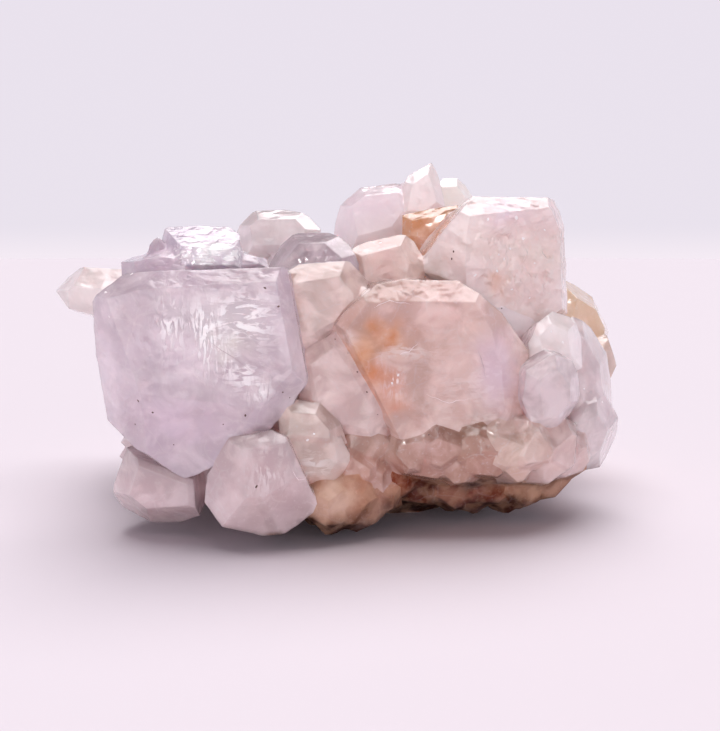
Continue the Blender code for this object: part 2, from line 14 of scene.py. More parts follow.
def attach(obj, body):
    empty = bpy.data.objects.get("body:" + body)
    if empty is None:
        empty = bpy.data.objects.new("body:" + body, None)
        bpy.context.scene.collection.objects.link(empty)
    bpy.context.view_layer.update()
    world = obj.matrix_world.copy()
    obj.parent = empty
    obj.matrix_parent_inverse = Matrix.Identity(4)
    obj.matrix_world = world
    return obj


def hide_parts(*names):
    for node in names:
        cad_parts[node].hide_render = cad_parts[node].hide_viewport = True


MM = 0.001
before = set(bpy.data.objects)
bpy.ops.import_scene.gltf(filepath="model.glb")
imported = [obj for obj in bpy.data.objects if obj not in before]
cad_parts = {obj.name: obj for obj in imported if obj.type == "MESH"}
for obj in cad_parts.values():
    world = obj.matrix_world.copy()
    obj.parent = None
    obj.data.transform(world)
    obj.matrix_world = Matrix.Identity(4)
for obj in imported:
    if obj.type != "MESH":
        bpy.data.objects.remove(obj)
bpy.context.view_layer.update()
scene = bpy.context.scene
scene.view_settings.view_transform = "Standard"
scene.view_settings.look = "None"


def mm(x, y, z):
    return Vector((x * MM, y * MM, z * MM))


def srgb(red, green, blue):
    """A colour, in 0 to 255, as the linear colour that a shader takes."""
    return Vector(((c / 255 + 0.055) / 1.055) ** 2.4 for c in (red, green, blue))


def look_at(item, target):
    item.rotation_euler = (target - item.location).to_track_quat("-Z", "Y").to_euler()


# ---------------------------------------------------------------- camera
PITCH = math.radians(8.0)
TARGET = mm(2.47, -1.23, 10.2)
DISTANCE = 0.068
camera_data = bpy.data.cameras.new("photo_camera")
camera = bpy.data.objects.new("photo_camera", camera_data)
scene.collection.objects.link(camera)
scene.camera = camera
camera_data.sensor_width = 36.0
camera_data.lens = 44.32
camera_data.clip_start = 0.001
camera_data.clip_end = 20.0
camera.location = TARGET - Vector((0.0, math.cos(PITCH), -math.sin(PITCH))) * DISTANCE
look_at(camera, TARGET)

# ---------------------------------------------------------------- world and lights
# The studio's walls by the sine of the elevation: pale to a little above the camera's view, dim over that.
WALLS = [
    (-0.1, (0.96, 0.88, 0.95)),
    (-0.022, (0.92, 0.84, 0.91)),
    (0.012, (0.82, 0.765, 0.85)),
    (0.34, (0.82, 0.76, 0.85)),
    (0.48, (0.17, 0.155, 0.17)),
    (1.0, (0.17, 0.155, 0.17)),
]
world = bpy.data.worlds.new("studio")
scene.world = world
world.use_nodes = True
sky = world.node_tree.nodes
place = sky.new("ShaderNodeTexCoord")
parts = sky.new("ShaderNodeSeparateXYZ")
spread = sky.new("ShaderNodeMapRange")
spread.inputs["From Min"].default_value = -1.0
walls = sky.new("ShaderNodeValToRGB")
world.node_tree.links.new(place.outputs["Generated"], parts.inputs[0])
world.node_tree.links.new(parts.outputs["Z"], spread.inputs["Value"])
world.node_tree.links.new(spread.outputs[0], walls.inputs["Fac"])
world.node_tree.links.new(walls.outputs["Color"], sky["Background"].inputs["Color"])
while len(walls.color_ramp.elements) < len(WALLS):
    walls.color_ramp.elements.new(1.0)
for element, (height, colour) in zip(walls.color_ramp.elements, WALLS):
    element.position = height / 2 + 0.5
    element.color = (*colour, 1.0)


# The lights at the front light only what is in this, so that the shadow under the cluster stays deep.
crystals_only = bpy.data.collections.new("lit_from_the_front")


def softbox(name, place, aim, size, watts):
    data = bpy.data.lights.new(name, "AREA")
    data.shape = "RECTANGLE"
    data.size = size[0]
    data.size_y = size[1]
    data.energy = watts
    data.color = (1.0, 0.97, 0.98)
    lamp = bpy.data.objects.new(name, data)
    scene.collection.objects.link(lamp)
    lamp.location = place
    look_at(lamp, aim)
    lamp.visible_camera = False
    return lamp


def far_light(name, strength, spread, place, colour):
    """A broad light so far away that it is the same everywhere; place gives only its direction."""
    data = bpy.data.lights.new(name, "SUN")
    data.energy = strength
    data.angle = math.radians(spread)
    data.color = colour
    lamp = bpy.data.objects.new(name, data)
    scene.collection.objects.link(lamp)
    lamp.location = place
    look_at(lamp, mm(0, 0, 0))
    return lamp


far_light("overhead", 2.75, 60.0, mm(35, 85, 330), (1.0, 0.965, 0.985))
front_fill = far_light("front_fill", 1.4, 72.0, mm(-95, -415, 15), (1.0, 0.94, 0.925))
front_window = softbox("front_window", mm(-42, -165, 273), mm(0, 0, 14), (0.04, 0.022), 0.075)
for lamp in (front_fill, front_window):
    lamp.light_linking.receiver_collection = crystals_only


# ---------------------------------------------------------------- floor
FLOOR_RADIUS = 0.9


def material(name):
    made = bpy.data.materials.new(name)
    made.use_nodes = True
    return made, made.node_tree.nodes, made.node_tree.links


def make_floor():
    body = bmesh.new()
    bmesh.ops.create_circle(body, cap_ends=True, segments=96, radius=FLOOR_RADIUS)
    mesh = bpy.data.meshes.new("floor")
    body.to_mesh(mesh)
    body.free()
    floor = bpy.data.objects.new("floor", mesh)
    scene.collection.objects.link(floor)
    made, nodes, links = material("floor_cloth")
    shader = nodes["Principled BSDF"]
    shader.inputs["Base Color"].default_value = (0.82, 0.765, 0.81, 1)
    shader.inputs["Roughness"].default_value = 0.9
    shader.inputs["Specular IOR Level"].default_value = 0.1
    mesh.materials.append(made)


make_floor()

# ---------------------------------------------------------------- the crystals
LAVENDER = srgb(222, 207, 216)
LILAC = srgb(236, 211, 213)
BLUSH = srgb(252, 222, 211)
ROSE = srgb(255, 219, 203)
MILK = srgb(247, 231, 232)
PEARL = srgb(255, 240, 239)
TAN = srgb(230, 206, 192)
SAND = srgb(170, 122, 98)
CLAY = srgb(216, 168, 146)
IRON = srgb(214, 140, 72)
RUST = srgb(130, 56, 30)
UMBER = srgb(52, 20, 10)
WHITE = srgb(250, 240, 240)
FROST = srgb(255, 252, 253)

# The crystals: a name, a place, a tint, how clear it is and about how long its mesh's edges are in
# millimetres. A crystal of the mesh is the one here whose place is nearest to its middle.
CRYSTALS = [
    ("left_point", (-8.1, -10.1, 11.9), LAVENDER, 0.35, 0.28),
    ("left_steps", (-8.2, -5.9, 18.6), srgb(222, 206, 222), 0.35, 0.2),
    ("left_steps", (-12, -9, 16.8), srgb(228, 210, 224), 0.35, 0.3),
    ("low_left", (-10.6, -8.3, 3.5), LILAC, 0.45, 0.4),
    ("low_front", (-4.2, -11.5, 4.1), LILAC, 0.35, 0.35),
    ("top_middle", (-1.0, -2.9, 17.7), LAVENDER, 0.4, 0.4),
    ("pink", (0.5, -7, 15.3), BLUSH, 0.45, 0.4),
    ("pink", (1.6, -8.5, 10), ROSE, 0.45, 0.4),
    ("saddle", (4.4, -0.5, 17.6), srgb(255, 224, 212), 0.35, 0.4),
    ("centre_point", (7.4, -8.0, 13.5), srgb(243, 208, 192), 0.42, 0.28),
    ("right_block", (12.5, -0.5, 18.7), srgb(255, 233, 226), 0.2, 0.25),
    ("right_milky", (15.5, -7.4, 12.6), PEARL, 0.15, 0.4),
    ("right_milky", (15.4, -9, 9.7), MILK, 0.4, 0.4),
    ("right_milky", (18, -2.2, 10.8), MILK, 0.35, 0.5),
    ("right_milky", (18.2, -4.7, 6.4), MILK, 0.35, 0.5),
    ("right_tan", (19, 6.9, 12.3), srgb(244, 216, 186), 0.2, 0.5),
    ("right_tan", (21, 1, 10), srgb(240, 211, 190), 0.2, 0.5),
    ("top_milky", (3.5, 10.3, 20.4), PEARL, 0.1, 0.5),
    ("top_peak", (7.9, 10, 22.3), PEARL, 0.1, 0.5),
    ("top_peach", (10.1, 11.6, 21.6), srgb(255, 243, 236), 0.05, 0.5),
    ("iron_orange", (8, 3, 20.5), srgb(240, 170, 120), 0.3, 0.5),
    ("top_back_left", (-3.9, 5, 19.1), PEARL, 0.25, 0.5),
    ("far_left", (-16.6, 7, 15.2), PEARL, 0.25, 0.5),
    ("low_middle", (-0.5, -11, 6), BLUSH, 0.38, 0.35),
    ("low_middle", (-0.8, -10.5, 8), BLUSH, 0.38, 0.35),
    ("low_centre", (2.6, -10, 6), srgb(228, 178, 156), 0.45, 0.4),
    ("bed", (4.5, -10.5, 5), CLAY, 0.4, 0.3),
    ("bed", (7, -10.8, 5.5), CLAY, 0.4, 0.3),
    ("bed", (10, -10.8, 5.5), CLAY, 0.4, 0.3),
    ("bed", (13, -10.5, 5.5), ROSE, 0.4, 0.3),
    ("bed", (16, -9.5, 5.5), BLUSH, 0.4, 0.3),
    ("base_left", (0, -12, 3), SAND, 0.05, 0.3),
    ("base_left", (3, -11, 3), SAND, 0.05, 0.3),
    ("base_right", (6, -8.5, 2.6), RUST, 0.05, 0.4),
    ("base_right", (9, -8.5, 2.6), RUST, 0.05, 0.4),
    ("base_right", (12, -8.3, 2.6), RUST, 0.05, 0.4),
    ("base_right", (15.5, -7.6, 2.6), SAND, 0.05, 0.4),
    ("core", (-0.6, 0.2, 1.3), UMBER, 0.0, 0.6),
    ("back", (-10, 9, 12), MILK, 0.4, 0.55),
    ("back", (0, 12, 10), BLUSH, 0.4, 0.55),
    ("back", (10, 11, 12), PEARL, 0.4, 0.55),
    ("back_low", (0, 10, 4), TAN, 0.35, 0.55),
    ("back_low", (10, 10, 4), TAN, 0.35, 0.55),
    ("left_end", (-14, 2, 8), LILAC, 0.4, 0.55),
    ("back_low", (-10, 8, 4), TAN, 0.35, 0.55),
    ("top", (0, 5, 19), PEARL, 0.45, 0.5),
    ("top", (12, 6, 20), BLUSH, 0.45, 0.5),
    ("top", (-10, 3, 18), LILAC, 0.45, 0.5),
]

# Stains and clouds, with painted shade on the base and a painted highlight on the steps among them: the
# crystal's name, their middle, their radii, their colour and how strong they are.
CLOUDS = [
    ("centre_point", (4.1, -11.7, 13.8), (1.1, 3, 0.9), IRON, 1.0),
    ("centre_point", (4.0, -11.9, 13.7), (0.5, 3, 0.45), srgb(188, 98, 40), 1.0),
    ("centre_point", (2.7, -11.5, 12.4), (1.2, 3, 1.5), IRON, 0.9),
    ("centre_point", (3.5, -11.5, 11.0), (1.0, 3, 1.1), srgb(208, 124, 62), 1.0),
    ("centre_point", (4.5, -11.5, 9.2), (1.1, 3, 1.5), srgb(222, 150, 122), 0.9),
    ("centre_point", (2.3, -11.5, 14.7), (0.6, 3, 0.35), srgb(160, 120, 110), 0.8),
    ("centre_point", (7.1, -11.7, 14.5), (0.8, 3, 0.4), srgb(190, 150, 140), 0.7),
    ("centre_point", (11.4, -11.5, 11.2), (1.6, 4, 3.0), srgb(222, 200, 216), 0.8),
    ("centre_point", (8.0, -11.7, 7.6), (3.6, 3, 0.8), srgb(238, 214, 208), 0.6),
    ("left_point", (-5.6, -13.7, 13.1), (1.1, 3, 0.8), srgb(226, 222, 212), 0.9),
    ("left_point", (-5.6, -13.7, 14.6), (2.8, 3, 1.7), srgb(214, 208, 214), 0.6),
    ("left_point", (-11.3, -13.2, 13.0), (1.8, 3, 3.5), srgb(206, 190, 202), 0.3),
    ("left_point", (-13.8, -11.0, 11.0), (1.3, 4, 4.5), srgb(242, 230, 239), 0.8),
    ("left_point", (-8.3, -13.7, 8.3), (3.5, 3, 2.2), srgb(226, 204, 222), 0.6),
    # Painted highlight: the steps are painted frost white where they catch the light.
    ("left_steps", (-7.5, -9.0, 18.6), (1.8, 1.3, 0.8), FROST, 1.0),
    ("right_block", (12.0, -4.7, 16.3), (0.8, 3, 0.6), srgb(224, 176, 150), 0.8),
    ("right_block", (12.0, -4.0, 21.8), (2.0, 3, 0.8), srgb(232, 222, 236), 0.8),
    ("right_tan", (21.8, 0.3, 9.8), (1.6, 4, 1.6), srgb(176, 160, 156), 0.7),
    ("bed", (4.6, -9.6, 5.0), (1.2, 3, 1.2), srgb(186, 134, 122), 0.8),
    # Umber on the base: rust, and painted shade in its recesses and along its foot.
    ("base_right", (6.6, -8.5, 3.2), (1.6, 3, 1.4), UMBER, 0.95),
    ("base_right", (10.2, -8.5, 3.4), (1.2, 3, 0.8), UMBER, 0.9),
    ("base_right", (13.0, -8.5, 1.4), (2.6, 3, 0.6), srgb(70, 26, 14), 0.7),
    ("base_right", (14.5, -7.8, 3.0), (1.5, 3, 0.9), srgb(206, 164, 138), 0.9),
    ("base_right", (8.4, -8.2, 2.4), (0.7, 3, 0.7), srgb(176, 120, 92), 0.8),
    ("base_left", (0.6, -12.0, 3.2), (1.6, 3, 1.0), srgb(222, 190, 172), 0.9),
    ("base_left", (3.4, -10.5, 3.9), (1.2, 3, 0.7), srgb(196, 140, 112), 0.9),
    # Umber low on the base: rust, and painted shade in the recess.
    ("base_left", (4.6, -9.8, 2.2), (1.0, 3, 1.0), UMBER, 0.8),
    ("low_centre", (2.8, -10.5, 4.8), (1.2, 3, 1.0), srgb(196, 142, 124), 0.7),
    ("saddle", (3.9, -4.2, 18.7), (1.5, 4, 1.0), srgb(206, 158, 156), 0.7),
]
# White fracture veils, and a painted highlight on the steps: the crystal's name, their middle, radii and
# strength, and the way that they streak.
VEILS = [
    ("left_point", (-9.2, -13.7, 14.4), (0.8, 3, 1.9), 1.0, "up"),
    ("left_point", (-7.2, -13.7, 14.4), (1.0, 3, 1.6), 1.1, "up"),
    ("left_point", (-6.4, -13.7, 12.4), (1.1, 3, 1.2), 0.9, "up"),
    ("left_point", (-4.6, -13.7, 14.9), (1.9, 3, 1.7), 1.2, "across"),
    ("left_point", (-4.6, -13.7, 11.4), (1.2, 3, 1.0), 0.9, "across"),
    ("left_point", (-3.6, -13.7, 10.3), (0.8, 3, 0.7), 0.8, "up"),
    # Painted highlight: a strong veil that paints the steps' striated glint white.
    ("left_steps", (-7.4, -9.2, 18.5), (2.2, 1.2, 0.8), 2.0, "across"),
    ("centre_point", (5.4, -11.7, 12.6), (1.5, 3, 0.5), 0.6, "across"),
    ("centre_point", (4.8, -11.7, 10.6), (0.7, 3, 0.9), 0.8, "up"),
    ("centre_point", (9.5, -11.7, 10.0), (3.0, 3, 2.5), 0.25, "across"),
    ("low_front", (-3.2, -15.2, 5.5), (1.2, 3, 1.6), 0.5, "up"),
    ("low_middle", (-0.4, -13.2, 5.6), (1.2, 3, 0.8), 0.6, "across"),
]
# Where a facet is pitted and stepped: the crystal's name, middle, radii and depth in millimetres.
PITS = [
    ("right_block", (13.6, -4.7, 18.2), (2.8, 4, 4.2), 0.25),
    ("left_steps", (-7.5, -9.5, 18.4), (3.5, 1.5, 1.6), 0.03),
    ("right_milky", (16.5, -8.0, 10.5), (3.0, 4, 3.0), 0.04),
]
STAINED = ("base_left", "base_right", "core")
SMALL = ("bed", "base_left", "base_right")
CLEARNESS = 1.35        # how much clearer each crystal is than its own row says
SEAM_ROUNDS = 13
SEAM_RISE = 1.0         # the most that a seam is filled, in millimetres
SMALL_SEAM_RISE = 0.2
CHIP_DEPTH = 0.03       # how uneven every facet is, in millimetres
PAINTED_TOP_SHADE = 0.26      # how much darker a facet that faces straight up is painted, as painted shade
UNDERSIDE = 6.0         # the height in millimetres under which what faces down is painted dark rust brown, as rust and as painted shade


def crystals_of(body):
    """The faces of each crystal: each is convex itself, so where two of them join there is a hollow edge."""
    flat = math.radians(1.0)
    seen = set()
    found = []
    for first in body.faces:
        if first in seen:
            continue
        seen.add(first)
        crystal = [first]
        for face in crystal:
            for edge in face.edges:
                if len(edge.link_faces) == 2 and (edge.is_convex or edge.calc_face_angle(0.0) < flat):
                    for near in edge.link_faces:
                        if near not in seen:
                            seen.add(near)
                            crystal.append(near)
        found.append(crystal)
    return found


def middle_of(faces):
    """The middle of some faces' surface, in millimetres."""
    total = sum(face.calc_area() for face in faces)
    return sum((face.calc_center_median() * face.calc_area() for face in faces), Vector()) / total / MM


def within(point, middle, radii):
    """1 in the middle of a soft blob, falling to 0 outside it."""
    away = sum(((point[axis] - middle[axis]) / radii[axis]) ** 2 for axis in range(3))
    return math.exp(-away)


def subdivided(body, finest):
    """Triangulate and split edges until each is shorter than its crystal asks."""
    for turn in range(7):
        bmesh.ops.triangulate(body, faces=body.faces)
        long_edges = []
        for edge in body.edges:
            limit = min(CRYSTALS[face[finest]][4] for face in edge.link_faces)
            if edge.calc_length() > limit * 1.6 * MM:
                long_edges.append(edge)
        if not long_edges:
            break
        bmesh.ops.subdivide_edges(body, edges=long_edges, cuts=1)
    bmesh.ops.triangulate(body, faces=body.faces)


def fill_hollows(body, kind):
    """Let each crystal grow a little into its neighbour, so that the seams are shallow: only outwards."""
    start = {vertex: vertex.co.copy() for vertex in body.verts}
    most = {}
    for vertex in body.verts:
        names = {CRYSTALS[face[kind]][0] for face in vertex.link_faces}
        most[vertex] = SEAM_RISE if names.isdisjoint(SMALL) else SMALL_SEAM_RISE
    for turn in range(SEAM_ROUNDS):
        body.normal_update()
        moves = []
        for vertex in body.verts:
            near = [edge.other_vert(vertex).co for edge in vertex.link_edges]
            rise = (sum(near, Vector()) / len(near) - vertex.co).dot(vertex.normal)
            if rise > 0 and (vertex.co - start[vertex]).length < most[vertex] * MM:
                moves.append((vertex, vertex.normal * rise * 0.7))
        for vertex, move in moves:
            vertex.co += move
    body.normal_update()


def chipped(place, per_mm):
    """A height that lies in small flat pieces, each tilted its own way, as on a stepped or broken facet."""
    middle = noise.voronoi(place * per_mm)[1][0]
    tilt = noise.cell_vector(middle * 37.0) * 2 - Vector((1, 1, 1))
    return (place * per_mm - middle).dot(tilt)


def rust_and_shade_from_below(place, normal):
    """How much a place is painted dark rust brown for lying low and facing down, as rust and as painted
    shade under the cluster: half as much under the crystals at the left.
    """
    low = min(1.0, max(0.0, (UNDERSIDE - place.z) / 3.5))
    down = min(1.0, max(0.0, -normal.z * 1.5 - 0.3))
    return low * down * (1.0 if place.x > -3.5 else 0.5)


def name_crystals(body, kind, shade):
    """Give every face its crystal's row in CRYSTALS, and a slight shade of its crystal's own."""
    chance = random.Random(11)
    for crystal in crystals_of(body):
        middle = middle_of(crystal)
        index = min(range(len(CRYSTALS)), key=lambda k: (Vector(CRYSTALS[k][1]) - middle).length)
        light = 1 + chance.uniform(-0.03, 0.02)
        green = light * (1 - chance.uniform(0.0, 0.04))
        blue = light * (1 + chance.uniform(-0.03, 0.03))
        for face in crystal:
            face[kind] = index
            face[shade] = Vector((light, green, blue))


def chip_facets(body, kind):
    """Lay the veils on the vertices, and chip the facets a little, most of all where they are pitted."""
    up = body.verts.layers.float.new("veil_up")
    across = body.verts.layers.float.new("veil_across")
    moves = []
    for vertex in body.verts:
        place = vertex.co / MM
        names = {CRYSTALS[face[kind]][0] for face in vertex.link_faces}
        for owner, middle, radii, strength, way in VEILS:
            if owner in names:
                layer = up if way == "up" else across
                vertex[layer] = min(1.0, vertex[layer] + strength * within(place, middle, radii))
        depth = CHIP_DEPTH
        for owner, middle, radii, deep in PITS:
            if owner in names:
                depth += deep * within(place, middle, radii)
        step = chipped(place, 0.9) + 0.5 * chipped(place, 2.1) + 0.4 * noise.noise(place * 1.3)
        moves.append((vertex, vertex.normal * step * depth * MM))
    for vertex, move in moves:
        vertex.co += move


def colour_facets(body, kind, shade):
    """Write each crystal's tint, stains, painted shade and painted highlight, and clearness on the corners
    of its faces.
    """
    tint = body.loops.layers.float_color.new("tint")
    clear = body.loops.layers.float.new("clear")
    pure = body.loops.layers.float.new("pure")
    for face in body.faces:
        name, _, colour, clearness, _ = CRYSTALS[face[kind]]
        own = face[shade]
        face.material_index = 1 if name in STAINED else 0
        for loop in face.loops:
            place = loop.vert.co / MM
            warped = place + noise.noise_vector(place * 0.7) * 0.9 + noise.noise_vector(place * 2.1) * 0.35
            mottle = noise.noise(place * 0.35)
            shown = Vector((colour.x * own.x, colour.y * own.y * (1 + 0.04 * mottle), colour.z * own.z))
            stained = 0.0
            for owner, middle, radii, stain, strength in CLOUDS:
                if owner == name:
                    share = strength * within(warped, middle, radii)
                    shown = shown.lerp(stain, share)
                    stained = max(stained, share)
            # Painted shade: facets that face up are painted darker, all but the steps, which carry a painted
            # highlight.
            if name != "left_steps":
                shown *= 1 - PAINTED_TOP_SHADE * max(0.0, loop.vert.normal.z) ** 2
            # Painted shadow: the stained crystals are painted darker towards their foot, where they meet the
            # floor.
            if name in STAINED:
                shown *= min(1.0, 0.2 + 0.8 * max(0.0, warped.z - 0.4) / 2.0)
            # Painted shade and rust: what lies low and faces down is painted umber, and counts as stained
            # below.
            under = rust_and_shade_from_below(warped, loop.vert.normal)
            shown = shown.lerp(UMBER, under)
            stained = max(stained, under, 0.8 if name in STAINED else 0.0)
            rooted = min(1.0, max(0.0, (place.z - 1.0) / 6.0))
            loop[clear] = clearness * CLEARNESS * (1 - 0.6 * stained) * (1 - under) * (0.3 + 0.7 * rooted)
            loop[pure] = 1 - stained
            loop[tint] = (*shown, 1.0)


def grown_mesh():
    """The union's surface, split finely, with each crystal's tint, clouds, veils, painted shade and pits on
    it.
    """
    body = bmesh.new()
    body.from_mesh(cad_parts["quartz_cluster"].data)
    bmesh.ops.remove_doubles(body, verts=body.verts, dist=1e-7)
    bmesh.ops.dissolve_limit(body, angle_limit=math.radians(0.6), verts=body.verts, edges=body.edges)
    body.normal_update()
    kind = body.faces.layers.int.new("kind")
    shade = body.faces.layers.float_vector.new("shade")
    name_crystals(body, kind, shade)
    subdivided(body, kind)
    fill_hollows(body, kind)
    chip_facets(body, kind)
    colour_facets(body, kind, shade)
    mesh = bpy.data.meshes.new("quartz")
    body.to_mesh(mesh)
    body.free()
    mesh.validate()
    return mesh




def quartz_material(name, roughness, specular, coated):
    """Quartz with its crystals' tints, clouds, veils and cracks; what isn't coated is matt and stained."""
    made, nodes, links = material(name)

    def add(kind, **values):
        node = nodes.new(kind)
        for key, value in values.items():
            setattr(node, key, value)
        return node

    def feed(sockets, values):
        """Link each socket to an output, or set it to a number or a colour."""
        for socket, value in zip(sockets, values):
            if isinstance(value, bpy.types.NodeSocket):
                links.new(value, socket)
            elif isinstance(value, Vector):
                socket.default_value = (*value, 1.0)
            else:
                socket.default_value = value

    def maths(operation, first, second):
        node = add("ShaderNodeMath", operation=operation)
        feed(node.inputs, (first, second))
        return node.outputs[0]

    def attribute(name, output="Fac"):
        return add("ShaderNodeAttribute", attribute_name=name).outputs[output]

    def ramp(source, low, high):
        node = add("ShaderNodeMapRange", interpolation_type="SMOOTHSTEP")
        links.new(source, node.inputs["Value"])
        node.inputs["From Min"].default_value = low
        node.inputs["From Max"].default_value = high
        return node.outputs[0]

    def noise_at(per_mm, detail=3.0, stretch=(1, 1, 1), distortion=0.0, lean=0.0):
        """A noise of so many swings per millimetre, drawn out along the axes whose stretch is small."""
        mapping = add("ShaderNodeMapping")
        links.new(coordinates.outputs["Object"], mapping.inputs["Vector"])
        mapping.inputs["Scale"].default_value = stretch
        mapping.inputs["Rotation"].default_value = (0.0, math.radians(lean), 0.0)
        node = add("ShaderNodeTexNoise")
        links.new(mapping.outputs[0], node.inputs["Vector"])
        node.inputs["Scale"].default_value = per_mm / MM
        node.inputs["Detail"].default_value = detail
        node.inputs["Distortion"].default_value = distortion
        return node.outputs["Fac"]

    def blended(factor, first, second, way="MIX"):
        node = add("ShaderNodeMix", data_type="RGBA", blend_type=way)
        feed((node.inputs[0], node.inputs[6], node.inputs[7]), (factor, first, second))
        return node.outputs[2]

    def cracks(per_mm, width, keep):
        """Thin lines between the cells of a warped pattern, kept only where a slow noise is high."""
        warp = add("ShaderNodeVectorMath", operation="MULTIPLY_ADD")
        swirl = add("ShaderNodeTexNoise")
        links.new(coordinates.outputs["Object"], swirl.inputs["Vector"])
        swirl.inputs["Scale"].default_value = 0.8 / MM
        links.new(swirl.outputs["Color"], warp.inputs[0])
        warp.inputs[1].default_value = (0.9 * MM, 0.9 * MM, 0.9 * MM)
        links.new(coordinates.outputs["Object"], warp.inputs[2])
        cells = add("ShaderNodeTexVoronoi", feature="DISTANCE_TO_EDGE")
        links.new(warp.outputs[0], cells.inputs["Vector"])
        cells.inputs["Scale"].default_value = per_mm / MM
        thin = ramp(cells.outputs["Distance"], width, 0.0)
        return maths("MULTIPLY", thin, ramp(noise_at(0.35, 2), keep, keep + 0.12))

    coordinates = add("ShaderNodeTexCoord")
    shader = nodes["Principled BSDF"]
    shader.inputs["Roughness"].default_value = roughness
    shader.inputs["Specular IOR Level"].default_value = specular
    shader.inputs["Coat Weight"].default_value = coated
    shader.inputs["IOR"].default_value = 1.544
    shader.inputs["Subsurface Weight"].default_value = 0.5 if coated else 0.2
    shader.inputs["Subsurface Radius"].default_value = (1.0, 0.8, 0.8)
    shader.inputs["Subsurface Scale"].default_value = 0.003
    shader.inputs["Coat Roughness"].default_value = 0.06

    streaks_up = ramp(noise_at(2.2, 6, (1.5, 1.0, 0.36), 1.2, 16), 0.44, 0.56)
    streaks_across = ramp(noise_at(1.8, 6, (0.42, 1.0, 1.4), 1.3, 30), 0.44, 0.56)
    mottle = ramp(noise_at(1.1, 6), 0.4, 0.62)
    patches = ramp(noise_at(0.9, 3, (1, 1, 1), 0.5), 0.38, 0.52)
    veils = maths("ADD", maths("MULTIPLY", streaks_up, attribute("veil_up")),
                  maths("MULTIPLY", streaks_across, attribute("veil_across")))
    veils = maths("MULTIPLY", veils, patches)
    clouds = ramp(noise_at(0.5, 6, (1, 1, 1), 0.6), 0.42, 0.68)
    smoke = ramp(noise_at(0.35, 5, (1, 1, 1.4), 0.8), 0.5, 0.75)
    lines = cracks(0.45, 0.035, 0.46)
    speckle = ramp(noise_at(4.5, 2), 0.58, 0.72)
    pure = attribute("pure")
    smoky = Vector((0.93, 0.80, 0.79))
    rust_glow = Vector((0.9, 0.55, 0.36))
    shown = blended(maths("MULTIPLY", smoke, 0.2), attribute("tint", "Color"), smoky, "MULTIPLY")
    shown = blended(maths("MULTIPLY", clouds, maths("MULTIPLY", pure, 0.25)), shown, WHITE)
    shown = blended(maths("MULTIPLY", speckle, maths("MULTIPLY", pure, 0.25)), shown, WHITE)
    rusty = maths("MULTIPLY", mottle, maths("SUBTRACT", 1.0, pure))
    shown = blended(maths("MULTIPLY", rusty, 0.2), shown, rust_glow, "SCREEN")
    shown = blended(maths("MULTIPLY", lines, maths("MULTIPLY", pure, 0.25)), shown, WHITE)
    shown = blended(maths("MULTIPLY", veils, 0.85), shown, FROST)
    links.new(shown, shader.inputs["Base Color"])
    milky = maths("MAXIMUM", veils, maths("MULTIPLY", clouds, 0.5))
    see_through = maths("SUBTRACT", 1.0, maths("MULTIPLY", milky, 0.8))
    links.new(maths("MULTIPLY", attribute("clear"), see_through), shader.inputs["Transmission Weight"])

    bevel = add("ShaderNodeBevel", samples=4)
    bevel.inputs["Radius"].default_value = 0.15 * MM
    ripple = add("ShaderNodeBump")
    ripple.inputs["Strength"].default_value = 0.5
    ripple.inputs["Distance"].default_value = 0.1 * MM
    uneven = maths("ADD", maths("MULTIPLY", noise_at(0.8, 4), 0.3), maths("MULTIPLY", veils, 0.6))
    links.new(uneven, ripple.inputs["Height"])
    links.new(bevel.outputs["Normal"], ripple.inputs["Normal"])
    links.new(ripple.outputs["Normal"], shader.inputs["Normal"])
    links.new(ripple.outputs["Normal"], shader.inputs["Coat Normal"])
    return made


def ride(piece):
    scene.collection.objects.link(piece)
    crystals_only.objects.link(piece)
    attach(piece, "root")
    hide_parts("quartz_cluster")


quartz = bpy.data.objects.new("quartz_crystals", grown_mesh())
quartz.data.materials.append(quartz_material("quartz", 0.2, 0.5, 0.9))
quartz.data.materials.append(quartz_material("stained_quartz", 0.6, 0.05, 0.0))
ride(quartz)

# ---------------------------------------------------------------- specks, painted glints and fracture lines
# Each is an (x, z) seen from the front, laid on the crystal that is there, with its size in millimetres.
DARK_SPECKS = [
    (-11.3, 9.7, 0.06), (-10.4, 9.0, 0.05), (-11.7, 8.1, 0.04), (-3.3, 16.7, 0.05), (-2.5, 15.6, 0.06),
    (-2.3, 10.3, 0.05), (-1.9, 9.9, 0.04), (-4.6, 8.9, 0.05), (-6.0, 8.3, 0.04), (-3.9, 4.6, 0.05),
    (8.9, 18.8, 0.06), (8.8, 18.3, 0.05), (0.9, 13.4, 0.04), (1.7, 12.5, 0.04), (2.3, 11.3, 0.05),
    (2.9, 10.0, 0.06), (3.6, 8.5, 0.04), (-9.2, 6.9, 0.04), (6.9, 7.2, 0.04), (12.3, 14.9, 0.04),
]
